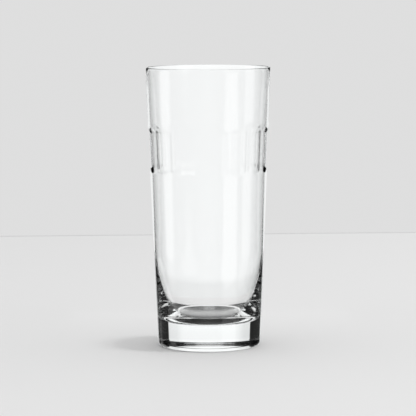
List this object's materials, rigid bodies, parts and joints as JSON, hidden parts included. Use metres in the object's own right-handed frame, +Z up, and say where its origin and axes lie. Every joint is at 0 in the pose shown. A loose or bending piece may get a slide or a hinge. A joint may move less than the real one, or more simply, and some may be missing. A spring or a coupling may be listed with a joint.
{
  "type": "highball glass",
  "caption": "Tall tapered drinking glass in one piece of clear glass, with a heavy solid base, a deep round-bottomed bowl and a ring of flat cut panels below a plain lip.",
  "frame": {"origin": "centre of the standing ring, on the surface that the glass stands on", "axes": "+Z up along the glass's axis, from the base to the rim; -Y is the front, where a ridge between two panels lies; +X to the right"},
  "size_m": [0.0694, 0.0694, 0.156],
  "materials": {
    "clear_glass": "polished clear glass"
  },
  "bodies": {
    "root": {"tumbler": "clear_glass"}
  },
  "joints": []
}
